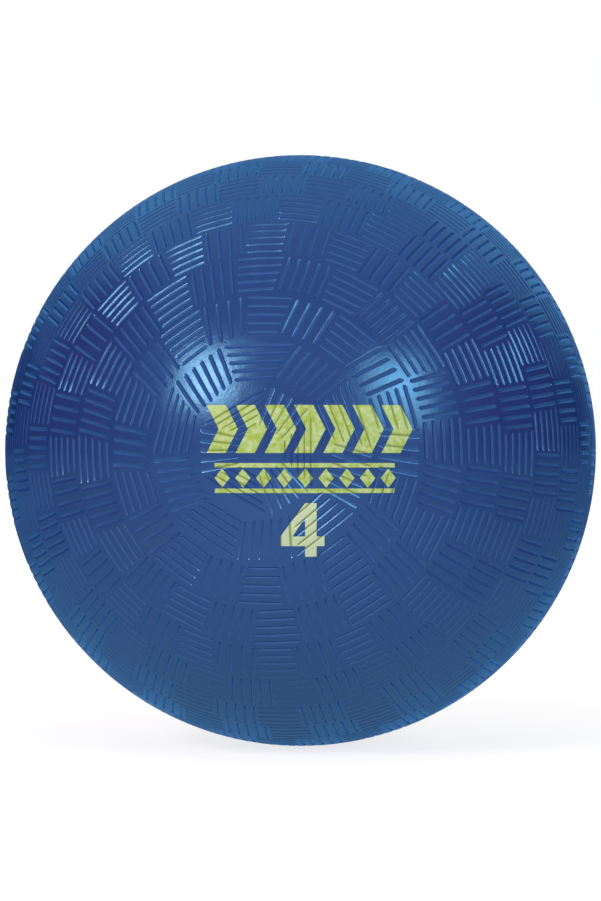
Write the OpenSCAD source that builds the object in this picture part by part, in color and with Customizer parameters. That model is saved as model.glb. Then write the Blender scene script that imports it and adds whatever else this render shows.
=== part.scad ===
// Textured play ball, two bonded plies with a needle valve in the rear pole.
// The origin is the centre of the ball. The moulding axis is Y: the printed pole faces -Y
// and the valve sits in the +Y pole.

/* [Ball] */
// Outside diameter over the face of the cover
ball_d = 101.6; // [95:0.1:140]
// Thickness of the outer ply
cover_wall = 1.6; // [1.2:0.1:2.4]
// Thickness of the inner ply
inner_wall = 1; // [0.8:0.1:1.6]

/* [Weave] */
// Depth of a moulded slot at its middle
slot_depth = 0.4; // [0.2:0.05:0.6]
// Plain land between the end of a slot and the border of its patch
slot_land = 0.55; // [0.3:0.05:1.2]
// Angle from each pole to the first full row of patches
cap_angle = 12; // [10:0.5:16]
// Angle from the printed pole to the small row inside its cap
pole_angle = 3.3; // [2:0.1:5]

/* [Valve housing] */
// Diameter of the neck that passes through both plies
neck_d = 11; // [10:0.1:14]
// Depth of the neck's face under the ball's face
neck_recess = 0.3; // [0:0.05:0.8]
// Diameter of the flange bonded inside the inner ply
flange_d = 24; // [20:0.5:30]
// Thickness of the flange
flange_t = 1.6; // [1.2:0.1:2.4]
// Width of the bevel round the flange
flange_bevel = 1.2; // [0.6:0.1:2]
// Length of the boss beyond the end of the core
boss_overhang = 0.1; // [0:0.05:2]
// Diameter of the boss at its tip
boss_tip_d = 10; // [9.5:0.1:12]
// Growth of the boss in diameter from its tip to the flange
boss_flare = 2.4; // [0:0.1:4]
// Height of the cone that braces the boss under the flange
brace_h = 2; // [1:0.1:3]
// Reach of that cone beyond the boss
brace_reach = 1.8; // [1:0.1:3]

/* [Valve core] */
// Diameter of the core's head
head_d = 7.6; // [6.8:0.1:8.4]
// Thickness of the head
head_t = 1.4; // [1:0.1:2]
// Depth of the head's face under the neck's face
head_recess = 0.2; // [0:0.05:0.6]
// Diameter of the stem
stem_d = 5.4; // [4.6:0.1:6]
// Diameter of the bead that holds the core under the seat
bead_d = 7; // [6.4:0.1:7.6]
// Height of the bead
bead_h = 2.2; // [1.6:0.1:3]
// Height of the slopes above and below the bead
bead_slope = 0.8; // [0.5:0.1:1.2]
// Length of the nose below the bead
nose_len = 2; // [1.2:0.1:3]
// Diameter at the end of the nose
nose_d = 4.4; // [3.6:0.1:5]
// Thickness of the seat between the head and the bead
seat_len = 7; // [5:0.1:8]
// Radial gap between the core and its housing
core_gap = 0.05; // [0.02:0.01:0.15]

/* [Needle duct] */
// Diameter of the duct for an inflating needle
duct_d = 2; // [1.6:0.05:2.4]
// Diameter of the lead-in at the mouth of the duct
funnel_d = 3.6; // [3:0.1:4.4]
// Depth of the lead-in
funnel_h = 0.9; // [0.5:0.1:1.4]
// Thickness of the closed lips at the end of the duct
lip_t = 1.6; // [1:0.1:2.4]

/* [Hidden] */
$fn = 96;
// Overrun of every cut
cut = 1;
ball_r = ball_d / 2;
bond_r = ball_r - cover_wall;
air_r = bond_r - inner_wall;
neck_r = neck_d / 2;
flange_r = flange_d / 2;
// Patches in each row of the weave, from a pole to the equator, and in the small row at the printed pole
row_patches = [10, 20, 24, 32, 34, 38, 40, 42, 42];
pole_patches = 6;
// Turn of the first tangential patch of each row about the moulding axis
row_turns = [267, 235, 327, 246, 254.7, 242, 323, 298.6, 270];
row_angle = (90 - cap_angle) / len(row_patches);
// Heights along the valve's axis, from the centre of the ball
neck_top = ball_r - neck_recess;
head_top = neck_top - head_recess;
seat_top = head_top - head_t;
seat_bottom = seat_top - seat_len;
bead_bottom = seat_bottom - bead_h;
nose_bottom = bead_bottom - nose_len;
duct_bottom = nose_bottom + lip_t;
// The flange lies between these heights at its rim
rim_top = sqrt(pow(air_r, 2) - pow(flange_r, 2));
rim_bottom = sqrt(pow(air_r - flange_t, 2) - pow(flange_r, 2));
flange_floor = air_r - flange_t;
boss_bottom = nose_bottom - boss_overhang;

// Turns a shape built along +Z to point along the valve's axis, +Y
module on_valve_axis() {
    rotate([-90, 0, 0]) children();
}

// Round bar between two heights on the valve's axis
module bar(d, from, to) {
    translate([0, 0, from]) cylinder(d = d, h = to - from);
}

// Cone between two heights on the valve's axis
module taper(d_low, d_high, low, high) {
    translate([0, 0, low]) cylinder(d1 = d_low, d2 = d_high, h = high - low);
}

// Spherical skin between two radii
module skin(outer, inner) {
    difference() {
        sphere(r = outer);
        sphere(r = inner);
    }
}

// Length along the ball's face that an angle covers on a circle of the given radius
function arc(radius, angle) = radius * angle * PI / 180;

// Square bar on its edge that cuts one slot across the top of the ball, along Y
module slot_bar(len) {
    side = slot_depth * sqrt(2);
    translate([0, 0, ball_r]) rotate([0, 45, 0]) cube([side, len, side], center = true);
}

// One slot in each patch of a row, by turns along the row and towards the pole
module row(angle, height, patches, turn) {
    step = 360 / patches;
    width = arc(ball_r * sin(angle), step);
    for (i = [0:patches - 1])
        rotate([0, angle, turn + i * step])
            if (i % 2 == 0) slot_bar(width - 2 * slot_land);
            else rotate([0, 0, 90]) slot_bar(arc(ball_r, height) - 2 * slot_land);
}

// Rows of one half of the ball, from the pole on +Z to the equator
module half_weave() {
    for (k = [0:len(row_patches) - 1])
        row(cap_angle + (k + 0.5) * row_angle, row_angle, row_patches[k], row_turns[k]);
}

module cover() {
    color("royalblue") on_valve_axis() difference() {
        skin(ball_r, bond_r);
        bar(neck_d, 0, ball_r + cut);
        half_weave();
        mirror([0, 0, 1]) {
            half_weave();
            row((pole_angle + cap_angle) / 2, cap_angle - pole_angle, pole_patches, 0);
        }
    }
}

module inner_ply() {
    color("midnightblue") on_valve_axis() difference() {
        skin(bond_r, air_r);
        bar(neck_d, 0, ball_r + cut);
    }
}

// Curved flange that seats on the inside of the inner ply
module flange() {
    intersection() {
        skin(air_r, flange_floor);
        union() {
            taper(flange_d - 2 * flange_bevel, flange_d, rim_bottom, rim_top);
            bar(flange_d - 2 * flange_bevel, rim_bottom - cut, rim_bottom);
            bar(flange_d, rim_top, ball_r);
        }
    }
}

module valve_housing() {
    color("dimgray") on_valve_axis() difference() {
        union() {
            flange();
            intersection() {
                bar(neck_d, flange_floor, ball_r);
                sphere(r = neck_top);
            }
            taper(boss_tip_d, boss_tip_d + boss_flare, boss_bottom, flange_floor);
            taper(boss_tip_d + boss_flare, boss_tip_d + boss_flare + 2 * brace_reach,
                flange_floor - brace_h, flange_floor);
        }
        bar(head_d + 2 * core_gap, seat_top, ball_r + cut);
        bar(stem_d + 2 * core_gap, boss_bottom - cut, ball_r);
        bar(bead_d + 2 * core_gap, boss_bottom - cut, seat_bottom);
    }
}

// Half section of the core, turned about the valve's axis
module core_profile() {
    polygon([
        [0, nose_bottom],
        [nose_d / 2, nose_bottom],
        [bead_d / 2, bead_bottom + bead_slope],
        [bead_d / 2, seat_bottom - bead_slope],
        [stem_d / 2, seat_bottom],
        [stem_d / 2, seat_top],
        [head_d / 2, seat_top],
        [head_d / 2, head_top],
        [funnel_d / 2, head_top],
        [duct_d / 2, head_top - funnel_h],
        [duct_d / 2, duct_bottom],
        [0, duct_bottom]
    ]);
}

module valve_core() {
    color("black") on_valve_axis() rotate_extrude() core_profile();
}

cover();
inner_ply();
valve_housing();
valve_core();
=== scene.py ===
"""Textured play ball: woven cover, print, valve finishes and a plain studio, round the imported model."""

from math import asin, cos, pi, radians, sin, tan

import bmesh
import bpy
import numpy as np
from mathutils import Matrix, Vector


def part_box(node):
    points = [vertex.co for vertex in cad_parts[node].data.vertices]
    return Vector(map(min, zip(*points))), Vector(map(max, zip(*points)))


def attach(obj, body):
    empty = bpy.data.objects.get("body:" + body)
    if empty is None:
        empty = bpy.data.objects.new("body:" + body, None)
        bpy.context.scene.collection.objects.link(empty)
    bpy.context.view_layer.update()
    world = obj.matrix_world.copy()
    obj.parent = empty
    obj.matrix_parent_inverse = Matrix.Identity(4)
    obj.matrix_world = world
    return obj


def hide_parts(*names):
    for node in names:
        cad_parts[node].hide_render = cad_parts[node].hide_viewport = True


bl_info = {
    "name": "Textured play ball",
    "version": (1, 0, 0),
    "blender": (4, 5, 0),
    "location": "3D View > Sidebar > Play ball",
    "description": "Builds a moulded play ball with a basket weave grip, its print, its valve and a studio",
    "category": "Add Mesh",
}

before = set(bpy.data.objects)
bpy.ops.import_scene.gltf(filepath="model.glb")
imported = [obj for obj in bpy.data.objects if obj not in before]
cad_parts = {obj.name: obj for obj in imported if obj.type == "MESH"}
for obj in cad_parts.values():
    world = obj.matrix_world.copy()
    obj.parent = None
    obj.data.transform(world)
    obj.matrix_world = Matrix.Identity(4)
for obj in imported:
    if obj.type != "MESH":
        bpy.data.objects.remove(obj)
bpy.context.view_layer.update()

# Radius of the ball's face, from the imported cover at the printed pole. The ball stands on its lowest point.
BALL_RADIUS = round(-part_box("cover")[0].y, 5)
FLOOR_HEIGHT = -BALL_RADIUS

# Rows of the weave from the printed pole to the equator: patches in the row, the angle in degrees,
# clockwise from the top as seen from the front, at which its first patch of slots along the row is
# centred, and the angle by which its other slots lean away from the pole
ROWS = (
    (10, 357.0, 8.0),
    (20, 325.0, 6.0),
    (24, 57.0, 4.0),
    (32, 336.0, 0.0),
    (34, 344.7, 0.0),
    (38, 332.0, 0.0),
    (40, 53.0, 0.0),
    (42, 28.6, 0.0),
    (42, 0.0, 0.0),
)
POLE_ROW = (6, 90.0, 0.0)
# How far the patches of slots towards the pole are squared up, at the cost of those between them
SQUARING = 0.5

# Cross-section of a slot, a V with eased shoulders: shares of its half width, and of its depth there
ACROSS_SHARES = np.array([-1.0, -0.62, 0.0, 0.62, 1.0])
SINK_SHARES = np.array([0.0, 0.2, 1.0, 0.2, 0.0])
# Rounded end of a slot, from its tip inwards: how far in, in half widths, how wide and how deep, in shares
END_STEPS = np.array([0.0, 0.85])
END_WIDTHS = np.array([0.6, 1.0])
END_DEPTHS = np.array([0.0, 1.0])
# Places between the ends where a slot bends with the ball, in shares of its patch
BEND_SHARES = np.array([1 / 3, 2 / 3])
# Straight pieces in each side of a patch, so that its border follows the ball
SIDE_STEPS = 3
# Points round the smooth parts, the disc round the valve, the hole's wall and the inside of the cover, and
# round the printed pole's own small circle
ROUND_STEPS = 96
POLE_STEPS = 12
# Rings of points between the weave and the valve's hole, round the hole's lip, and over the inside
DISC_RINGS = 6
LIP_RINGS = 4
INNER_RINGS = 24
# The outer face, slots and all, is within this many slot depths of the ball's radius
FACE_DEPTHS = 1.5

# Whites of the lamps: warm on the left and over the ball, cool on the right and behind it, and in the
# brighter middles of the left and right lamps rosier and bluer
WARM_WHITE = (1.0, 0.95, 0.93)
ROSY_WHITE = (1.0, 0.74, 0.8)
COOL_WHITE = (0.8, 0.94, 1.0)
BLUE_WHITE = (0.62, 0.8, 1.0)
# Softboxes that face the ball: the setting that holds the power, the colour, the length of a side in
# metres, the degrees to the left of the camera and up, and the distance from the ball's centre in metres
LAMPS = {
    "left_softbox": ("key_power", WARM_WHITE, 0.4, 37.4, 25.4, 1.0),
    "left_bulb": ("key_bulb", ROSY_WHITE, 0.22, 36.8, 24.6, 0.99),
    "right_softbox": ("fill_power", COOL_WHITE, 0.42, -38.6, 20.4, 1.0),
    "right_bulb": ("fill_bulb", BLUE_WHITE, 0.2, -39.4, 23.0, 0.99),
    "top_softbox": ("top_power", WARM_WHITE, 0.8, 150.0, 68.0, 1.1),
    "left_rim": ("rim_power", COOL_WHITE, 0.7, 142.0, 31.0, 1.1),
    "right_rim": ("rim_power", COOL_WHITE, 0.7, -142.0, 31.0, 1.1),
}
# White of the surroundings where they are seen, and the rosy light of the room's sides
PLAIN_WHITE = (1.0, 1.0, 1.0)
ROSY_SIDE = (1.0, 0.2, 0.25)
# Where the surroundings change, on z, y or x of a direction of length 1: up from the horizon, towards the
# front, out to the rosy sides and back to them, and back to the white sweep
UPWARDS = (0.1, 0.8)
FORWARDS = (0.1, -0.9)
OUT_TO_SIDES = (0.6, 0.85)
BACK_TO_SIDES = (-0.5, -0.2)
BACK_TO_SWEEP = (-0.5, 0.1)
# The sweep fades out from this share of its width, and widens by this share of a direction's height
SWEEP_CORE = 0.4
SWEEP_LEAN = 0.5
# Grey of the floor itself, how white it is seen under the ball, and in radii of the ball how far out it is
# all white and over which distance the strip that gloss shows fades out
FLOOR_COLOUR = "#b8b8b8"
FLOOR_UNDER_BALL = 0.78
FLOOR_WHITE_FROM = 8.0
FLOOR_STRIP = (0.5, 3.0)
# The floor reaches this far from the ball, in a grid of so many points a side
FLOOR_REACH = 6.0
FLOOR_POINTS = 25
# The camera sees from the first to the second of these distances in metres
CLIP_RANGE = (0.01, 50.0)

# Picture scale on the front of the ball, and in pixels the ball's centre, its height, the picture's height
# and the boxes of the print's rows as left, right, top and bottom
MM_PER_PIXEL = 0.156
BALL_PIXEL = (300.0, 449.5)
BALL_PIXELS_HIGH = 591.0
PICTURE_PIXELS_HIGH = 901.0
ARROWS_BOX = (206, 408, 404, 452)
LINES_BOX = (214, 394, 462, 492)
NUMERAL_BOX = (280, 324, 502, 556)
# Shapes of the print in millimetres
ARROWS = {"width": 3.0, "pitch": 4.55, "point": 1.9, "count": 7}
DIAMONDS = {"inset": 1.2, "half_height": 1.5, "slimness": 0.8, "pitch": 3.24, "count": 9}
LINE_WIDTH = 0.7
# The numeral's stem across its box, its bar up it, and the width of its slope, in shares of the box
NUMERAL_STEM = (0.56, 0.82)
NUMERAL_BAR = (0.2, 0.38)
NUMERAL_SLOPE = 0.27
# The numeral's paler coat starts between these heights in metres, and takes up this share of the colour
NUMERAL_LEVELS = (-0.008, -0.0075)
NUMERAL_COAT = 0.7
# In shares of its thickness, how far the film of ink stands off the cover, so that the two never touch,
# and how far from its outer radius a point still belongs to a land
FILM_GAP = 0.2
FILM_REACH = 0.7

# The clear blue skin of the plastisol: it tints what passes through it, and more so near the ball's rim
CLEAR_SKIN = {
    "IOR": 1.53,
    "Specular_IOR_Level": 1.0,
    "Specular_Tint": (0.5, 0.86, 0.97, 1.0),
    "Coat_Weight": 1.0,
    "Coat_IOR": 1.02,
    "Coat_Roughness": 0.3,
    "Coat_Tint": (0.58, 0.84, 1.0, 1.0),
}
# Shares of a slot's depth: the land's finish is full down to the first, and the slot's own starts at the
# others, on the cover and on the ink. On the cover the slot's own is a duller gloss and a paler blue that is
# painted in to lift the shade that falls in the slots
LAND_DEPTH = 0.1
COVER_DEEP = 0.9
INK_DEEP = 0.7
# Edges sharper than this stay crisp
CRISP_ANGLE = radians(28)
# Points closer than this are one point, and points within this of the ball's face lie on it, in metres
SAME_POINT = 1e-7
ON_FACE = 2e-6
# Numbers of a Mix node's two value sockets and two colour sockets, and what makes one mix colours
VALUE_A, VALUE_B = 2, 3
COLOUR_A, COLOUR_B = 6, 7
OF_COLOURS = {"data_type": "RGBA", "output": 2}


def linear(hex_colour):
    """Linear light values of an sRGB hex colour such as "#204080"."""
    shares = [int(hex_colour[i : i + 2], 16) / 255 for i in (1, 3, 5)]
    return [s / 12.92 if s <= 0.04045 else ((s + 0.055) / 1.055) ** 2.4 for s in shares]


# Surfaces: every function works on whole arrays, and returns points and the triangles that join them


def ball_points(from_pole, around, radius):
    """Points given by the angle from the printed pole, the angle round the moulding axis and the distance
    from the ball's centre: the sine of the first spreads the rest over x and z, its cosine gives -y."""
    from_pole, around, radius = np.broadcast_arrays(from_pole, around, radius)
    spread = radius * np.sin(from_pole)
    points = (spread * np.sin(around), -radius * np.cos(from_pole), spread * np.cos(around))
    return np.stack(points, axis=-1)


def zip_rings(first, second):
    """Triangles between two closed rings, given by their rising angles. Each edge is joined to the point
    of the other ring that has been reached by the middle of that edge, and of two edges with like middles
    the first ring's goes first."""
    ends = [np.append(ring[1:], ring[0] + 2 * pi) for ring in (first, second)]
    middle_1, middle_2 = (first + ends[0]) / 2, (second + ends[1]) / 2
    n, m = len(first), len(second)
    i, j = np.arange(n), np.arange(m)
    reached_2 = np.searchsorted(middle_2, middle_1) % m
    reached_1 = np.searchsorted(middle_1, middle_2, side="right") % n
    on_first = np.stack([i, (i + 1) % n, n + reached_2], axis=1)
    on_second = np.stack([n + (j + 1) % m, n + j, reached_1], axis=1)
    both = np.concatenate([on_first, on_second])
    real = (both[:, 0] != both[:, 1]) & (both[:, 1] != both[:, 2]) & (both[:, 0] != both[:, 2])
    return both[real]


def grid_triangles(rows, columns):
    """Two triangles for each cell of a grid whose points are numbered row by row."""
    corner = (np.arange(rows - 1)[:, None] * columns + np.arange(columns - 1)).ravel()
    lower = np.stack([corner, corner + columns, corner + columns + 1], axis=1)
    upper = np.stack([corner, corner + columns + 1, corner + 1], axis=1)
    return np.concatenate([lower, upper])


def joined(parts):
    """Several (points, triangles) as one, each part's triangles counted on from the parts before it."""
    starts = np.cumsum([0] + [len(points) for points, _ in parts[:-1]])
    points = np.concatenate([points for points, _ in parts])
    triangles = np.concatenate([tris + start for (_, tris), start in zip(parts, starts)])
    return points, triangles


def even_turns(count):
    """Angles of points spread evenly round a circle."""
    return np.arange(count) * 2 * pi / count


def band(first, second):
    """Surface between two rings round the moulding axis, each given as the angles of its points from the
    pole, or one angle for all, its distance from the centre and its points' rising angles round it."""
    points = [ball_points(from_pole, turns, far) for from_pole, far, turns in (first, second)]
    return np.concatenate(points), zip_rings(first[2], second[2])


def edge_turns(along, across):
    """A rising angle for each point on the edge of a patch's grid: each of its four sides takes a quarter
    turn, and a point its share of the side's length, so that corners meet the corners of the border."""
    length = (along - along[0]) / (along[-1] - along[0])
    far_side = (across[-1] - across[-1, 0]) / (across[-1, -1] - across[-1, 0])
    near_side = (across[0] - across[0, 0]) / (across[0, -1] - across[0, 0])
    sides = [length[:-1], 1 + far_side[:-1], 2 + 1 - length[:0:-1], 3 + 1 - near_side[:0:-1]]
    return np.concatenate(sides) * pi / 2


def slot_patch(slots, pitch, half_width, land, half_width_along):
    """One patch of the weave on a unit square: the place along and across the slots, the depth share and
    the triangles. Across, the slots' cross-sections stand side by side a pitch apart; along, they rise to
    the face in rounded ends. A ring of triangles joins that grid to the square's own border."""
    inwards = land + END_STEPS * half_width_along
    along = np.concatenate([inwards, BEND_SHARES, 1 - inwards[::-1]])
    full = np.ones(len(BEND_SHARES))
    widths = np.concatenate([END_WIDTHS, full, END_WIDTHS[::-1]])
    depths = np.concatenate([END_DEPTHS, full, END_DEPTHS[::-1]])
    middles = 0.5 + (np.arange(slots) - (slots - 1) / 2) * pitch
    section = half_width * widths[:, None, None] * ACROSS_SHARES
    across = (middles[None, :, None] + section).reshape(len(along), -1)
    sink = np.tile(SINK_SHARES, slots) * depths[:, None]
    rows, columns = across.shape
    number = np.arange(rows * columns).reshape(rows, columns)
    edge = np.concatenate([number[:-1, 0], number[-1, :-1], number[:0:-1, -1], number[0, :0:-1]])
    grid_along = np.repeat(along, columns)
    grid_across = across.ravel()
    step = np.arange(SIDE_STEPS) / SIDE_STEPS
    zero, one = np.zeros(SIDE_STEPS), np.ones(SIDE_STEPS)
    border_along = np.concatenate([step, one, 1 - step, zero])
    border_across = np.concatenate([zero, step, one, 1 - step])
    ring = zip_rings(np.arange(4 * SIDE_STEPS) * pi / 2 / SIDE_STEPS, edge_turns(along, across))
    names = np.concatenate([rows * columns + np.arange(4 * SIDE_STEPS), edge])
    triangles = np.concatenate([grid_triangles(rows, columns), names[ring]])
    return (
        np.concatenate([grid_along, border_along]),
        np.concatenate([grid_across, border_across]),
        np.concatenate([sink.ravel(), np.zeros(4 * SIDE_STEPS)]),
        triangles,
    )


def row_places(row, index, along, across):
    """Angles from the pole and round the axis of places in a row's patches, whose numbers are given: a
    share of a patch along the row, and a share of the row's height. Every second patch is squared up: it
    keeps more of its width towards the pole and less away from it, and the others make up for that. The
    lean shifts a place sideways in step with its height. Lines along the row are great circles through
    their ends, so they run straight, and the corners near the pole give them the room for it. Between a
    patch's near and far sides its width changes evenly, so lines towards the pole run straight too."""
    low, high, patches, turn, lean = row
    half = pi / patches
    squared = SQUARING * (sin(high) - sin(low)) / (sin(high) + sin(low)) * np.where(index % 2 == 1, 1, -1)
    near = np.arctan(tan(low) / np.cos(half * (1 + abs(squared))))
    level = near + across * (high - near)
    near_part, far_part = (1 - across) * np.sin(near), across * sin(high)
    corner = half * (1 + squared * (near_part - far_part) / (near_part + far_part))
    offset = (2 * along - 1) * corner
    from_pole = np.arctan(np.tan(level) * np.cos(corner) / np.cos(offset))
    shift = tan(lean) * (high - low) * (across - 0.5) / np.sin(level)
    return from_pole, turn + 2 * half * index + offset + shift


def row_border(row, across):
    """One side of a row as a ring for band, through the corners and side points of its patches."""
    index = np.arange(row[2])[:, None]
    from_pole, around = row_places(row, index, np.arange(SIDE_STEPS) / SIDE_STEPS, across)
    around = around.ravel() % (2 * pi)
    order = np.argsort(around)
    return from_pole.ravel()[order], BALL_RADIUS, around[order]


def woven_row(sizes, row):
    """One row of patches between two angles from the printed pole. Slots run by turns along the row and
    towards the pole; the second kind is the same patch with its two directions exchanged, so its
    triangles are turned round to keep facing out."""
    low, high, patches = row[:3]
    row_length = BALL_RADIUS * sin((low + high) / 2) * 2 * pi / patches
    row_height = BALL_RADIUS * (high - low)
    parts = []
    for kind, (along_size, across_size) in enumerate(((row_length, row_height), (row_height, row_length))):
        room = across_size - sizes.slot_width - 2 * sizes.side_land
        slots = 1 + round(room / sizes.slot_pitch)
        pitch = room / (slots - 1)
        along, across, sink, triangles = slot_patch(
            slots,
            pitch / across_size,
            sizes.slot_width / 2 / across_size,
            sizes.end_land / along_size,
            sizes.slot_width / 2 / along_size,
        )
        if kind == 1:
            along, across, triangles = across, along, triangles[:, ::-1]
        index = np.arange(kind, patches, 2)[:, None]
        points = ball_points(*row_places(row, index, along, across), BALL_RADIUS - sink * sizes.slot_depth)
        starts = np.arange(len(index))[:, None, None] * len(along)
        parts.append((points.reshape(-1, 3), (triangles + starts).reshape(-1, 3)))
    return joined(parts)


def half_weave(sizes, rows):
    """Woven rows that follow each other, and the plain bands between them."""
    parts = [woven_row(sizes, row) for row in rows]
    parts += [band(row_border(this, 1), row_border(after, 0)) for this, after in zip(rows, rows[1:])]
    return joined(parts)


def mirrored(ring):
    """A ring of band moved to the other half of the ball."""
    return pi - ring[0], ring[1], ring[2]


def cover_surface(sizes):
    """The whole cover as one closed shell, along a profile from the printed pole: cap, woven rows of the
    front half, the same rows of the back half mirrored, the smooth disc round the valve, the hole's lip
    and wall, and the inside back to the pole."""
    cap, pole, gap = sizes.cap_angle, sizes.pole_angle, sizes.gutter / BALL_RADIUS / 2
    height = (pi / 2 - cap) / len(ROWS)
    rows = [(pole, cap, *POLE_ROW)]
    rows += [(cap + i * height, cap + (i + 1) * height, *row) for i, row in enumerate(ROWS)]
    rows = [(low + gap, high - gap, n, radians(turn), radians(lean)) for low, high, n, turn, lean in rows]
    points, triangles = half_weave(sizes, rows[1:])
    equator = row_border(rows[-1], 1)
    parts = [
        band((0.0, BALL_RADIUS, even_turns(1)), (pole / 2, BALL_RADIUS, even_turns(POLE_STEPS))),
        band((pole / 2, BALL_RADIUS, even_turns(POLE_STEPS)), row_border(rows[0], 0)),
        woven_row(sizes, rows[0]),
        band(row_border(rows[0], 1), row_border(rows[1], 0)),
        (points, triangles),
        band(equator, mirrored(equator)),
        (points * (1, -1, 1), triangles[:, ::-1]),
    ]
    hole, lip, wall = sizes.hole_diameter / 2, sizes.lip_radius, sizes.wall
    lip_turns = np.linspace(0, pi / 2, LIP_RINGS)
    lip_profile = [(hole + lip * (1 - sin(t)), BALL_RADIUS - lip * (1 - cos(t))) for t in lip_turns]
    rim = asin((hole + lip) / BALL_RADIUS)
    disc = [(pi - angle, BALL_RADIUS) for angle in np.linspace(cap, rim, DISC_RINGS)[1:-1]]
    throat = [(pi - asin(out / far), far) for out, far in lip_profile]
    inner = BALL_RADIUS - wall
    mouth = pi - asin(hole / inner)
    inside = [(mouth * i / INNER_RINGS, inner) for i in range(INNER_RINGS, 0, -1)]
    smooth = [(angle, far, even_turns(ROUND_STEPS)) for angle, far in disc + throat + inside]
    circles = [mirrored(row_border(rows[1], 0))] + smooth + [(0.0, inner, even_turns(1))]
    parts += [band(*pair) for pair in zip(circles, circles[1:])]
    return joined(parts)


def new_piece(name, points, triangles):
    """A smooth-shaded object at the origin from arrays of points and triangles, its doubles merged."""
    mesh = bpy.data.meshes.new(name)
    mesh.from_pydata(points, [], triangles)
    work = bmesh.new()
    work.from_mesh(mesh)
    bmesh.ops.remove_doubles(work, verts=work.verts, dist=SAME_POINT)
    work.to_mesh(mesh)
    work.free()
    mesh.validate()
    mesh.shade_smooth()
    piece = bpy.data.objects.new(name, mesh)
    bpy.context.scene.collection.objects.link(piece)
    return piece


def round_lands(mesh, radius, reach):
    """Shading normals straight out from the ball's centre at each corner within reach of a radius, unless
    the surface is steep there, and those of the surface itself elsewhere, with its sharper edges crisp."""
    mesh.set_sharp_from_angle(angle=CRISP_ANGLE)
    normals = np.empty(len(mesh.loops) * 3)
    mesh.corner_normals.foreach_get("vector", normals)
    normals = normals.reshape(-1, 3, 3)
    points, triangles = mesh_arrays(mesh)
    far = np.linalg.norm(points, axis=1)
    outwards = (points / far[:, None])[triangles]
    level = (abs(far - radius) < reach)[triangles] & ((normals * outwards).sum(axis=2) > cos(CRISP_ANGLE))
    normals[level] = outwards[level]
    mesh.normals_split_custom_set(normals.reshape(-1, 3).tolist())


# Print: flat outlines in millimetres, across and up from the ball's centre as the camera sees them


def slanted_bar(left, right, bottom, top, slant):
    """Corners, anticlockwise, of a bar whose top is moved across by slant."""
    return [(left, bottom), (right, bottom), (right + slant, top), (left + slant, top)]


def chevrons(left, bottom, top, width, pitch, point, count):
    """A row of arrowheads that point across, each a shape of a lower and an upper slanted bar."""
    middle = (bottom + top) / 2
    places = [left + i * pitch for i in range(count)]
    return [
        [
            slanted_bar(x, x + width, bottom, middle, point),
            slanted_bar(x + point, x + point + width, middle, top, -point),
        ]
        for x in places
    ]


def diamonds(left, middle, inset, half_height, slimness, pitch, count):
    """A row of diamonds standing on their points, the first one's middle an inset from the left."""
    places = [left + inset + i * pitch for i in range(count)]
    half = half_height * slimness
    return [
        [[(x - half, middle), (x, middle - half_height), (x + half, middle), (x, middle + half_height)]]
        for x in places
    ]


def numeral_four(left, right, bottom, top):
    """A block numeral as one shape: a stem, a bar across it, and a slope from the bar to the stem's top."""
    wide, high = right - left, top - bottom
    stem_left, stem_right = (left + share * wide for share in NUMERAL_STEM)
    bar_low, bar_high = (bottom + share * high for share in NUMERAL_BAR)
    slope_right, slope_low = left + NUMERAL_SLOPE * wide, top - NUMERAL_SLOPE * high
    return [
        [(stem_left, bottom), (stem_right, bottom), (stem_right, top), (stem_left, top)],
        [(left, bar_low), (right, bar_low), (right, bar_high), (left, bar_high)],
        [(left, bar_high), (slope_right, bar_high), (stem_left, slope_low), (stem_left, top)],
    ]


def from_pixels(left, right, top, bottom):
    """Left, right, bottom and top in millimetres of a box of the picture."""
    x, y = BALL_PIXEL
    return [pixels * MM_PER_PIXEL for pixels in (left - x, right - x, y - bottom, y - top)]


def print_shapes():
    """The print's shapes, each a list of outlines with four corners: arrowheads, a row of diamonds between
    two thin lines, and the size numeral."""
    left, _, bottom, top = from_pixels(*ARROWS_BOX)
    shapes = chevrons(left, bottom, top, **ARROWS)
    left, right, bottom, top = from_pixels(*LINES_BOX)
    shapes += diamonds(left, (bottom + top) / 2, **DIAMONDS)
    shapes.append([slanted_bar(left, right, top - LINE_WIDTH, top, 0.0)])
    shapes.append([slanted_bar(left, right, bottom, bottom + LINE_WIDTH, 0.0)])
    shapes.append(numeral_four(*from_pixels(*NUMERAL_BOX)))
    return shapes


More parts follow.
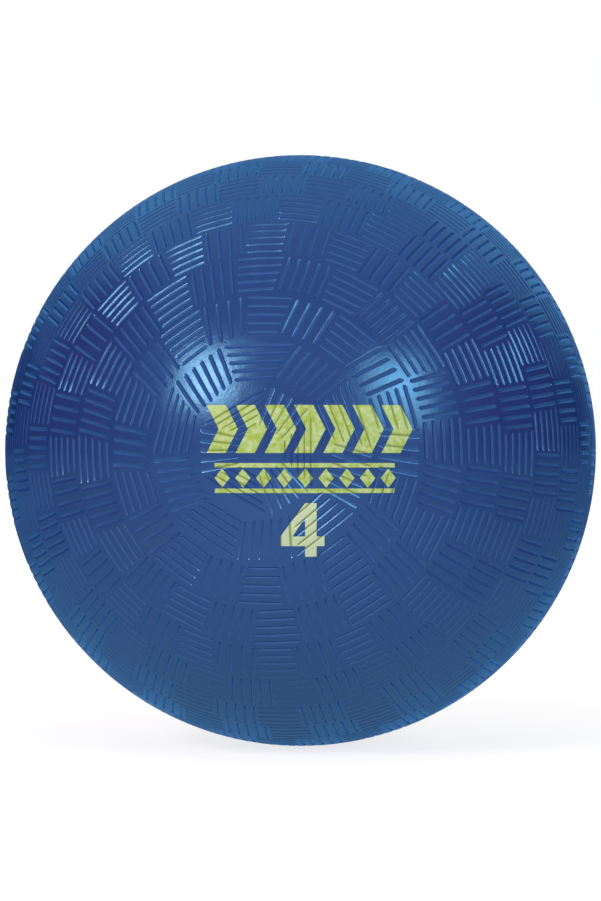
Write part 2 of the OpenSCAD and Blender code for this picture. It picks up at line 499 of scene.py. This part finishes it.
def clipped(points, triangles, shape, right, up):
    """The part of a surface inside a shape of convex outlines: the surface is cut by a plane through each
    side of each outline, and the faces whose middle is to the left of all sides of an outline are kept."""
    corners = np.array(shape) / 1000
    sides = np.roll(corners, -1, axis=1) - corners
    flat = points @ np.stack([right, up], axis=1)
    low, high = corners.min(axis=(0, 1)), corners.max(axis=(0, 1))
    corner_places = flat[triangles]
    near = (corner_places.max(axis=1) > low).all(axis=1) & (corner_places.min(axis=1) < high).all(axis=1)
    used, numbers = np.unique(triangles[near], return_inverse=True)
    mesh = bpy.data.meshes.new("cutting")
    mesh.from_pydata(points[used], [], numbers.reshape(-1, 3))
    work = bmesh.new()
    work.from_mesh(mesh)
    bpy.data.meshes.remove(mesh)
    for start, side in zip(corners.reshape(-1, 2), sides.reshape(-1, 2)):
        outwards = side[1] * right - side[0] * up
        place = start[0] * right + start[1] * up
        everything = work.verts[:] + work.edges[:] + work.faces[:]
        bmesh.ops.bisect_plane(work, geom=everything, dist=SAME_POINT, plane_co=place, plane_no=outwards)
    bmesh.ops.triangulate(work, faces=work.faces[:])
    work.verts.index_update()
    cut = np.array([vertex.co[:] for vertex in work.verts])
    faces = np.array([[vertex.index for vertex in face.verts] for face in work.faces])
    work.free()
    middles = cut[faces].mean(axis=1) @ np.stack([right, up], axis=1)
    away = middles[:, None, None] - corners
    inside = (sides[..., 0] * away[..., 1] > sides[..., 1] * away[..., 0]).all(axis=2).any(axis=1)
    used, numbers = np.unique(faces[inside], return_inverse=True)
    return cut[used], numbers.reshape(-1, 3)


def thickened(points, triangles, low, high):
    """A surface as a closed film between two heights over it, straight out from the ball's centre: the
    surface twice, the lower one turned round, and a strip of two triangles along each open edge."""
    far = np.linalg.norm(points, axis=1, keepdims=True)
    count = len(points)
    edges = triangles[:, [[0, 1], [1, 2], [2, 0]]].reshape(-1, 2)
    key = edges.min(axis=1) * count + edges.max(axis=1)
    _, first, uses = np.unique(key, return_index=True, return_counts=True)
    start, end = edges[first[uses == 1]].T
    side_1 = np.stack([start, start + count, end + count], axis=1)
    side_2 = np.stack([start, end + count, end], axis=1)
    both = np.concatenate([points * (1 + high / far), points * (1 + low / far)])
    return both, np.concatenate([triangles, triangles[:, ::-1] + count, side_1, side_2])


def mesh_arrays(mesh):
    """A triangle mesh's points and triangles as arrays."""
    points = np.empty(len(mesh.vertices) * 3)
    mesh.vertices.foreach_get("co", points)
    triangles = np.empty(len(mesh.loops), dtype=int)
    mesh.loops.foreach_get("vertex_index", triangles)
    return points.reshape(-1, 3), triangles.reshape(-1, 3)


# Materials


def add_node(tree, kind, sockets=(), output=0, **settings):
    """Adds a shader node, sets its settings, fills its sockets with values or links other nodes' outputs to
    them, in order or by name or number, and gives back one of its own outputs."""
    made = tree.nodes.new("ShaderNode" + kind)
    for name, value in settings.items():
        setattr(made, name, value)
    filled = sockets if isinstance(sockets, dict) else dict(enumerate(sockets))
    for name, value in filled.items():
        if isinstance(value, bpy.types.NodeSocket):
            tree.links.new(value, made.inputs[name])
        else:
            made.inputs[name].default_value = value
    return made.outputs[output]


def new_material(name, **constants):
    """A material with its shader's own sockets set, its node tree, its shader and Object coordinates."""
    material = bpy.data.materials.new(name)
    material.use_nodes = True
    tree = material.node_tree
    shader = tree.nodes["Principled BSDF"]
    for socket, value in constants.items():
        shader.inputs[socket.replace("_", " ")].default_value = value
    return material, tree, shader, add_node(tree, "TexCoord", output="Object")


def dress(tree, shader, colour, roughness, normal):
    """Links a colour, a roughness and a normal to the shader."""
    for name, output in (("Base Color", colour), ("Roughness", roughness), ("Normal", normal)):
        tree.links.new(output, shader.inputs[name])


def patchy(tree, place, millimetres, levels, values=(0.0, 1.0), detail=2.0, roughness=0.5):
    """A value that changes over patches of about the given size: a cloud of noise, whose part between two
    levels is spread over two values and kept inside them."""
    sockets = {"Vector": place, "Scale": 1000 / millimetres, "Detail": detail, "Roughness": roughness}
    cloud = add_node(tree, "TexNoise", sockets, "Fac")
    return add_node(tree, "MapRange", (cloud, *levels, *values))


def grained(tree, place, millimetres, height, strength, detail=2.0, under=None):
    """A normal that is uneven with grains of about the given size and of a height in metres, on top of the
    one under it."""
    sockets = {"Vector": place, "Scale": 1000 / millimetres, "Detail": detail}
    grains = add_node(tree, "TexNoise", sockets, "Fac")
    sockets = {"Height": grains, "Distance": height, "Strength": strength}
    if under is not None:
        sockets["Normal"] = under
    return add_node(tree, "Bump", sockets, "Normal")


def land_share(tree, place, slot_depth, deep):
    """0 in the slots from a share of their depth down, and 1 on the lands."""
    far = add_node(tree, "VectorMath", (place,), "Value", operation="LENGTH")
    levels = (BALL_RADIUS - slot_depth * deep, BALL_RADIUS - slot_depth * LAND_DEPTH)
    return add_node(tree, "MapRange", (far, *levels, 0.0, 1.0))


def rgba(colour):
    """A colour's three values with a fourth for full cover."""
    return (*colour, 1.0)


def cover_material(sizes, finish):
    """Plasticised PVC, rotationally moulded: a soft waxy gloss that breaks up over a faint orange peel, and
    a duller gloss in the slots, where the mould isn't polished, with a paler blue painted in them to lift the
    shade that falls there. The blue clouds over 22 mm and the gloss over 5 mm, the peel's waves are 1.8 mm
    across, and the mould's grain is 0.4 mm."""
    material, tree, shader, place = new_material("moulded_pvc_cover", **CLEAR_SKIN)
    on_land = land_share(tree, place, sizes.slot_depth, COVER_DEEP)
    cloud = patchy(tree, place, 22.0, (0.35, 0.65))
    blues = {0: cloud, COLOUR_A: rgba(finish.cover_colour), COLOUR_B: rgba(finish.cover_tint)}
    face = add_node(tree, "Mix", blues, **OF_COLOURS)
    # Painted light: the slots get a paler blue than the lands, to lift the shade that falls in them
    depths = {0: on_land, COLOUR_A: rgba(finish.slot_blue_painted_light), COLOUR_B: face}
    body = add_node(tree, "Mix", depths, **OF_COLOURS)
    gloss = patchy(tree, place, 5.0, (0.3, 0.7), (0.16, 0.23), detail=3.0)
    dull = add_node(tree, "Mix", {0: on_land, VALUE_A: 0.3, VALUE_B: gloss})
    peel = grained(tree, place, 1.8, 0.00006, 0.35, detail=1.0)
    dress(tree, shader, body, dull, grained(tree, place, 0.4, 0.00003, 0.6, under=peel))
    return material


def ink_material(sizes, finish):
    """Pad-printed vinyl ink: a thin film, yellow-green, mottled over 0.8 mm with paler places where its
    coat is thick and duller, and greyer where it dips into the slots, with a grain of 0.35 mm. The numeral,
    below the rest, has a paler coat."""
    material, tree, shader, place = new_material("pad_printed_ink", IOR=1.5, Metallic=0.0)
    on_land = land_share(tree, place, sizes.slot_depth, INK_DEEP)
    coat = patchy(tree, place, 0.8, (0.36, 0.64), detail=4.0, roughness=0.6)
    greens = {0: coat, COLOUR_A: rgba(finish.ink_colour), COLOUR_B: rgba(finish.ink_pale)}
    ink = add_node(tree, "Mix", greens, **OF_COLOURS)
    height = add_node(tree, "SeparateXYZ", (place,), "Z")
    low = add_node(tree, "MapRange", (height, *NUMERAL_LEVELS, NUMERAL_COAT, 0.0))
    coats = {0: low, COLOUR_A: ink, COLOUR_B: rgba(finish.ink_numeral)}
    ink = add_node(tree, "Mix", coats, **OF_COLOURS)
    depths = {0: on_land, COLOUR_A: rgba(finish.ink_thin), COLOUR_B: ink}
    body = add_node(tree, "Mix", depths, **OF_COLOURS)
    dull = add_node(tree, "MapRange", (coat, 0.0, 1.0, 0.34, 0.46))
    dress(tree, shader, body, dull, grained(tree, place, 0.35, 0.00002, 0.4))
    return material


def inner_material(finish):
    """Plain PVC skin, slush moulded: an even satin surface inside the ball, clouded over 15 mm, with waves
    of 4 mm."""
    material, tree, shader, place = new_material("slush_moulded_pvc", IOR=1.53, Metallic=0.0)
    cloud = patchy(tree, place, 15.0, (0.0, 1.0))
    blues = {0: cloud, COLOUR_A: rgba(finish.slot_blue_painted_light), COLOUR_B: rgba(finish.cover_colour)}
    body = add_node(tree, "Mix", blues, **OF_COLOURS)
    satin = add_node(tree, "MapRange", (cloud, 0.3, 0.7, 0.4, 0.52))
    dress(tree, shader, body, satin, grained(tree, place, 4.0, 0.0002, 0.3))
    return material


def rubber_material(name, colour, pale, grain_mm):
    """Moulded rubber: dull, with a fine grain from the mould and a dusting of pale bloom in patches of
    3 mm."""
    material, tree, shader, place = new_material(name, IOR=1.52, Metallic=0.0)
    bloom = patchy(tree, place, 3.0, (0.5, 0.75), (0.0, 0.4), detail=4.0)
    dusted = {0: bloom, COLOUR_A: rgba(colour), COLOUR_B: rgba(pale)}
    body = add_node(tree, "Mix", dusted, **OF_COLOURS)
    dull = add_node(tree, "MapRange", (bloom, 0.0, 0.4, 0.5, 0.68))
    dress(tree, shader, body, dull, grained(tree, place, grain_mm, 0.00004, 0.5, detail=3.0))
    return material


def shown_share(tree, in_gloss):
    """1 for rays that come from the camera or through glass, what is given for rays that come from a glossy
    surface, and 0 for the rest."""
    ray = add_node(tree, "LightPath").node.outputs
    sockets = (ray["Is Camera Ray"], ray["Is Transmission Ray"])
    straight = add_node(tree, "Math", sockets, operation="MAXIMUM")
    glossy = add_node(tree, "Math", (ray["Is Glossy Ray"], in_gloss), operation="MULTIPLY")
    return add_node(tree, "Math", (straight, glossy), operation="MAXIMUM")


# Sizes and colours that a user would change


class PlayBallWeave(bpy.types.PropertyGroup):
    slot_width: bpy.props.FloatProperty(
        name="Slot width", description="Width of a moulded slot at the face", default=0.00084, unit="LENGTH"
    )
    slot_depth: bpy.props.FloatProperty(
        name="Slot depth", description="Depth of a moulded slot", default=0.00023, unit="LENGTH"
    )
    slot_pitch: bpy.props.FloatProperty(
        name="Slot pitch",
        description="Slot to slot, before fitting to a patch",
        default=0.0017,
        unit="LENGTH",
    )
    side_land: bpy.props.FloatProperty(
        name="Side land", description="Plain width beside the outer slots", default=0.0001, unit="LENGTH"
    )
    end_land: bpy.props.FloatProperty(
        name="End land", description="Plain width beyond a slot's end", default=0.0002, unit="LENGTH"
    )
    gutter: bpy.props.FloatProperty(
        name="Gutter", description="Plain width between two rows", default=0.0002, unit="LENGTH"
    )
    cap_angle: bpy.props.FloatProperty(
        name="Cap angle", description="From a pole to the first row", default=radians(12), subtype="ANGLE"
    )
    pole_angle: bpy.props.FloatProperty(
        name="Pole angle",
        description="Angle from the printed pole to its small row",
        default=radians(3.3),
        subtype="ANGLE",
    )
    wall: bpy.props.FloatProperty(
        name="Wall", description="Thickness of the cover", default=0.0016, unit="LENGTH"
    )
    hole_diameter: bpy.props.FloatProperty(
        name="Valve hole", description="Diameter of the hole for the neck", default=0.011, unit="LENGTH"
    )
    lip_radius: bpy.props.FloatProperty(
        name="Hole lip", description="Rounding of the hole's edge", default=0.00015, unit="LENGTH"
    )


class PlayBallFinish(bpy.types.PropertyGroup):
    cover_colour: bpy.props.FloatVectorProperty(
        name="Cover", description="Blue of the cover", size=3, subtype="COLOR", default=linear("#374a88")
    )
    cover_tint: bpy.props.FloatVectorProperty(
        name="Cover tint",
        description="Second blue that clouds the cover",
        size=3,
        subtype="COLOR",
        default=linear("#394883"),
    )
    # A paler blue painted into the slots to lift the shade that falls in them; the inner ply also clouds with
    # it
    slot_blue_painted_light: bpy.props.FloatVectorProperty(
        name="Slots",
        description="Blue painted paler in the slots against their shade",
        size=3,
        subtype="COLOR",
        default=linear("#50689f"),
    )
    ink_colour: bpy.props.FloatVectorProperty(
        name="Ink",
        description="Yellow-green of the print",
        size=3,
        subtype="COLOR",
        default=linear("#abc946"),
    )
    ink_pale: bpy.props.FloatVectorProperty(
        name="Pale ink",
        description="Ink where its coat is thick",
        size=3,
        subtype="COLOR",
        default=linear("#cce2a0"),
    )
    ink_numeral: bpy.props.FloatVectorProperty(
        name="Numeral ink",
        description="Paler ink of the numeral",
        size=3,
        subtype="COLOR",
        default=linear("#dff0d0"),
    )
    ink_thin: bpy.props.FloatVectorProperty(
        name="Thin ink", description="Ink in the slots", size=3, subtype="COLOR", default=linear("#98ab58")
    )
    housing_colour: bpy.props.FloatVectorProperty(
        name="Valve housing",
        description="Rubber of the valve's housing",
        size=3,
        subtype="COLOR",
        default=linear("#1d3c6c"),
    )
    core_colour: bpy.props.FloatVectorProperty(
        name="Valve core",
        description="Rubber of the valve's core",
        size=3,
        subtype="COLOR",
        default=linear("#26272b"),
    )
    bloom_colour: bpy.props.FloatVectorProperty(
        name="Bloom",
        description="Pale dust on the rubber",
        size=3,
        subtype="COLOR",
        default=linear("#6f7787"),
    )


class PlayBallPrint(bpy.types.PropertyGroup):
    turn: bpy.props.FloatProperty(
        name="Turn",
        description="Angle of the print's middle from the front pole",
        default=radians(7.2),
        subtype="ANGLE",
    )
    film: bpy.props.FloatProperty(
        name="Film", description="Thickness of the ink", default=0.00003, unit="LENGTH"
    )


class PlayBallStage(bpy.types.PropertyGroup):
    camera_distance: bpy.props.FloatProperty(
        name="Camera distance", description="From the ball's centre", default=0.508, unit="LENGTH"
    )
    camera_turn: bpy.props.FloatProperty(
        name="Camera turn",
        description="Angle round the ball from the front",
        default=radians(7.2),
        subtype="ANGLE",
    )
    ball_share: bpy.props.FloatProperty(
        name="Ball in picture",
        description="Share of the picture's height that the ball takes",
        default=BALL_PIXELS_HIGH / PICTURE_PIXELS_HIGH,
        subtype="FACTOR",
    )
    key_power: bpy.props.FloatProperty(
        name="Left lamp", description="Power of the left softbox", default=2.6, unit="POWER"
    )
    key_bulb: bpy.props.FloatProperty(
        name="Left bulb",
        description="Power of the brighter middle of the left softbox",
        default=1.6,
        unit="POWER",
    )
    fill_power: bpy.props.FloatProperty(
        name="Right lamp", description="Power of the right softbox", default=2.3, unit="POWER"
    )
    fill_bulb: bpy.props.FloatProperty(
        name="Right bulb",
        description="Power of the brighter middle of the right softbox",
        default=0.6,
        unit="POWER",
    )
    top_power: bpy.props.FloatProperty(
        name="Top lamp", description="Power of the softbox over the ball", default=0.2, unit="POWER"
    )
    rim_power: bpy.props.FloatProperty(
        name="Rim lamps",
        description="Power of each of the two softboxes behind the ball",
        default=0.4,
        unit="POWER",
    )
    surroundings: bpy.props.FloatProperty(
        name="Overhead light", description="Strength of the soft light overhead", default=0.16
    )
    front_light: bpy.props.FloatProperty(
        name="Front light", description="Strength of the soft light from the front", default=0.29
    )
    floor_glow: bpy.props.FloatProperty(
        name="Floor glow", description="Light that the pale floor gives back", default=0.15
    )
    floor_gloss: bpy.props.FloatProperty(
        name="Floor in gloss",
        description="Share of the white floor that gloss shows",
        default=0.6,
        subtype="FACTOR",
    )
    sweep_width: bpy.props.FloatProperty(
        name="Sweep width", description="How far aside gloss shows the white sweep", default=0.5
    )
    sweep_gloss: bpy.props.FloatProperty(
        name="Sweep in gloss",
        description="Share of the white sweep that gloss shows",
        default=0.6,
        subtype="FACTOR",
    )
    horizon: bpy.props.FloatProperty(
        name="Horizon light", description="Strength of the soft light at the horizon", default=0.05
    )
    side_glow: bpy.props.FloatProperty(
        name="Side glow", description="Strength of the rosy light of the room's sides", default=0.15
    )


# Operators, one for each piece and one for the stage


class PLAYBALL_OT_cover(bpy.types.Operator):
    """Makes the moulded cover with its basket weave of short slots"""

    bl_idname = "playball.cover"
    bl_label = "Woven cover"

    def execute(self, context):
        sizes, finish = context.scene.play_ball_weave, context.scene.play_ball_finish
        cover = new_piece("woven_cover", *cover_surface(sizes))
        cover.data.materials.append(cover_material(sizes, finish))
        round_lands(cover.data, BALL_RADIUS, ON_FACE)
        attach(cover, "root")
        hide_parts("cover")
        return {"FINISHED"}


class PLAYBALL_OT_print(bpy.types.Operator):
    """Lays the ink of the print over the cover, slots and all"""

    bl_idname = "playball.print"
    bl_label = "Print"

    def execute(self, context):
        scene = context.scene
        sizes, finish, settings = scene.play_ball_weave, scene.play_ball_finish, scene.play_ball_print
        cover = bpy.data.objects.get("woven_cover")
        if cover is None:
            raise RuntimeError("make the cover before its print")
        right = np.array([cos(settings.turn), sin(settings.turn), 0.0])
        towards = np.array([sin(settings.turn), -cos(settings.turn), 0.0])
        up = np.array([0.0, 0.0, 1.0])
        points, triangles = mesh_arrays(cover.data)
        far = np.linalg.norm(points, axis=1)
        outside = (points @ towards > 0) & (far > BALL_RADIUS - sizes.slot_depth * FACE_DEPTHS)
        front = triangles[outside[triangles].all(axis=1)]
        parts = [clipped(points, front, shape, right, up) for shape in print_shapes()]
        film, faces = joined([part for part in parts if len(part[1])])
        low, high = settings.film * FILM_GAP, settings.film * (1 + FILM_GAP)
        ink = new_piece("print_ink", *thickened(film, faces, low, high))
        ink.data.materials.append(ink_material(sizes, finish))
        round_lands(ink.data, BALL_RADIUS + high, settings.film * FILM_REACH)
        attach(ink, "root")
        return {"FINISHED"}


class PLAYBALL_OT_inner_ply(bpy.types.Operator):
    """Gives the inner ply its finish"""

    bl_idname = "playball.inner_ply"
    bl_label = "Inner ply"

    def execute(self, context):
        finish_node("inner_ply", inner_material(context.scene.play_ball_finish))
        return {"FINISHED"}


class PLAYBALL_OT_valve(bpy.types.Operator):
    """Gives the valve's housing and core their rubber"""

    bl_idname = "playball.valve"
    bl_label = "Valve"

    def execute(self, context):
        finish = context.scene.play_ball_finish
        housing = rubber_material("moulded_rubber_housing", finish.housing_colour, finish.cover_colour, 0.5)
        core = rubber_material("soft_black_rubber", finish.core_colour, finish.bloom_colour, 0.4)
        finish_node("valve_housing", housing)
        finish_node("valve_core", core)
        return {"FINISHED"}


def finish_node(name, material):
    """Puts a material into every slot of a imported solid."""
    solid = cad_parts[name]
    if not solid.data.materials:
        solid.data.materials.append(material)
    for slot in solid.material_slots:
        slot.material = material


class PLAYBALL_OT_stage(bpy.types.Operator):
    """Makes the floor, the soft lamps, the white surroundings and the camera"""

    bl_idname = "playball.stage"
    bl_label = "Stage"

    def execute(self, context):
        scene, settings = context.scene, context.scene.play_ball_stage
        scene.view_settings.view_transform = "Standard"
        make_floor(settings)
        make_world(scene, settings)
        for name, (power, colour, size, left, up, far) in LAMPS.items():
            place = direction(settings.camera_turn - radians(left), radians(up)) * far
            make_lamp(name, getattr(settings, power), colour, size, place)
        make_camera(scene, settings)
        return {"FINISHED"}


def direction(turn, up):
    """Unit vector from the ball, turned from the front (-Y) towards +X and raised."""
    return Vector((sin(turn) * cos(up), -cos(turn) * cos(up), sin(up)))


def make_floor(settings):
    """A wide level sheet with its middle under the ball, x and y running over a grid. It is seen as white,
    a little darker round the ball so that its shadow shows. Gloss shows the white as a strip under the
    ball, with the room's darker floor beside it."""
    side = np.linspace(-FLOOR_REACH, FLOOR_REACH, FLOOR_POINTS)
    x, y = np.meshgrid(side, side, indexing="ij")
    points = np.stack([x.ravel(), y.ravel(), np.full(x.size, FLOOR_HEIGHT)], axis=1)
    floor = new_piece("floor", points, grid_triangles(FLOOR_POINTS, FLOOR_POINTS))
    material, tree, shader, place = new_material("white_floor", Roughness=0.9)
    shader.inputs["Base Color"].default_value = rgba(linear(FLOOR_COLOUR))
    away = add_node(tree, "VectorMath", (place,), "Value", operation="LENGTH")
    ends = (BALL_RADIUS, BALL_RADIUS * FLOOR_WHITE_FROM)
    white = add_node(tree, "MapRange", (away, *ends, FLOOR_UNDER_BALL, 1.0))
    across = add_node(tree, "SeparateXYZ", (place,), "X")
    aside = add_node(tree, "Math", (across,), operation="ABSOLUTE")
    ends = [BALL_RADIUS * end for end in FLOOR_STRIP]
    strip = add_node(tree, "MapRange", (aside, *ends, settings.floor_gloss, 0.0))
    levels = {0: shown_share(tree, strip), VALUE_A: settings.floor_glow, VALUE_B: white}
    seen = add_node(tree, "Mix", levels)
    glow = add_node(tree, "Emission", (rgba(PLAIN_WHITE), seen))
    both = add_node(tree, "AddShader", (shader.outputs[0], glow))
    tree.links.new(both, tree.nodes["Material Output"].inputs["Surface"])
    floor.data.materials.append(material)


def make_world(scene, settings):
    """White where it is seen, and elsewhere a soft light, stronger overhead than at the horizon. Gloss
    shows the white as a sweep behind the ball and over it, between the dim, rosy sides of the room."""
    scene.world = bpy.data.worlds.new("white_surroundings")
    scene.world.use_nodes = True
    tree = scene.world.node_tree
    way = add_node(tree, "TexCoord", output="Generated")
    across, back, up = add_node(tree, "SeparateXYZ", (way,)).node.outputs
    above = add_node(tree, "MapRange", (up, *UPWARDS, settings.horizon, settings.surroundings))
    front = add_node(tree, "MapRange", (back, *FORWARDS, 0.0, settings.front_light))
    soft = add_node(tree, "Math", (above, front), operation="ADD")
    aside = add_node(tree, "Math", (across,), operation="ABSOLUTE")
    outer = add_node(tree, "MapRange", (aside, *OUT_TO_SIDES, 0.0, 1.0))
    along = add_node(tree, "MapRange", (back, *BACK_TO_SIDES, 0.0, 1.0))
    rosy = add_node(tree, "Math", (outer, along), operation="MULTIPLY")
    glow = add_node(tree, "Math", (rosy, settings.side_glow), operation="MULTIPLY")
    soft = add_node(tree, "Math", (soft, glow), operation="ADD")
    lean = add_node(tree, "Math", (up, SWEEP_LEAN), operation="MULTIPLY")
    aside = add_node(tree, "Math", (aside, lean), operation="SUBTRACT")
    ends = (settings.sweep_width * SWEEP_CORE, settings.sweep_width)
    sweep = add_node(tree, "MapRange", (aside, *ends, settings.sweep_gloss, 0.0))
    behind = add_node(tree, "MapRange", (back, *BACK_TO_SWEEP, 0.0, 1.0))
    sweep = add_node(tree, "Math", (sweep, behind), operation="MULTIPLY")
    shown = shown_share(tree, sweep)
    strength = add_node(tree, "Mix", {0: shown, VALUE_A: soft, VALUE_B: 1.0})
    hues = {0: rosy, COLOUR_A: rgba(PLAIN_WHITE), COLOUR_B: rgba(ROSY_SIDE)}
    unseen = add_node(tree, "Mix", hues, **OF_COLOURS)
    hues = {0: shown, COLOUR_A: unseen, COLOUR_B: rgba(PLAIN_WHITE)}
    colour = add_node(tree, "Mix", hues, **OF_COLOURS)
    tree.links.new(strength, tree.nodes["Background"].inputs["Strength"])
    tree.links.new(colour, tree.nodes["Background"].inputs["Color"])


def make_lamp(name, power, colour, size, place):
    """A square softbox that faces the ball."""
    light = bpy.data.lights.new(name, "AREA")
    light.energy, light.color, light.size = power, colour, size
    lamp = bpy.data.objects.new(name, light)
    lamp.location = place
    lamp.rotation_euler = place.to_track_quat("Z", "Y").to_euler()
    bpy.context.scene.collection.objects.link(lamp)


def make_camera(scene, settings):
    """A level camera whose lens gives the ball its share of the picture's height."""
    camera = bpy.data.cameras.new("camera")
    edge = tan(asin(BALL_RADIUS / settings.camera_distance))
    camera.lens = camera.sensor_width / 2 / (edge / settings.ball_share)
    camera.clip_start, camera.clip_end = CLIP_RANGE
    holder = bpy.data.objects.new("camera", camera)
    back = direction(settings.camera_turn, 0.0)
    holder.location = back * settings.camera_distance
    holder.rotation_euler = back.to_track_quat("Z", "Y").to_euler()
    scene.collection.objects.link(holder)
    scene.camera = holder


class PLAYBALL_PT_panel(bpy.types.Panel):
    """Lists the ball's sizes, colours and pieces"""

    bl_idname = "PLAYBALL_PT_panel"
    bl_label = "Play ball"
    bl_space_type = "VIEW_3D"
    bl_region_type = "UI"
    bl_category = "Play ball"

    def draw(self, context):
        for group in GROUPS:
            box = self.layout.box()
            settings = getattr(context.scene, group)
            for name in settings.bl_rna.properties.keys():
                if name not in ("rna_type", "name"):
                    box.prop(settings, name)
        for operator in OPERATORS:
            self.layout.operator(operator.bl_idname)


GROUPS = {
    "play_ball_weave": PlayBallWeave,
    "play_ball_finish": PlayBallFinish,
    "play_ball_print": PlayBallPrint,
    "play_ball_stage": PlayBallStage,
}
OPERATORS = (
    PLAYBALL_OT_cover,
    PLAYBALL_OT_print,
    PLAYBALL_OT_inner_ply,
    PLAYBALL_OT_valve,
    PLAYBALL_OT_stage,
)


def register():
    for group, kind in GROUPS.items():
        bpy.utils.register_class(kind)
        setattr(bpy.types.Scene, group, bpy.props.PointerProperty(type=kind))
    for kind in (*OPERATORS, PLAYBALL_PT_panel):
        bpy.utils.register_class(kind)


def unregister():
    for kind in (PLAYBALL_PT_panel, *reversed(OPERATORS)):
        bpy.utils.unregister_class(kind)
    for group, kind in reversed(GROUPS.items()):
        delattr(bpy.types.Scene, group)
        bpy.utils.unregister_class(kind)


def main():
    register()
    bpy.ops.playball.cover()
    bpy.ops.playball.print()
    bpy.ops.playball.inner_ply()
    bpy.ops.playball.valve()
    bpy.ops.playball.stage()


if __name__ == "__main__":
    main()
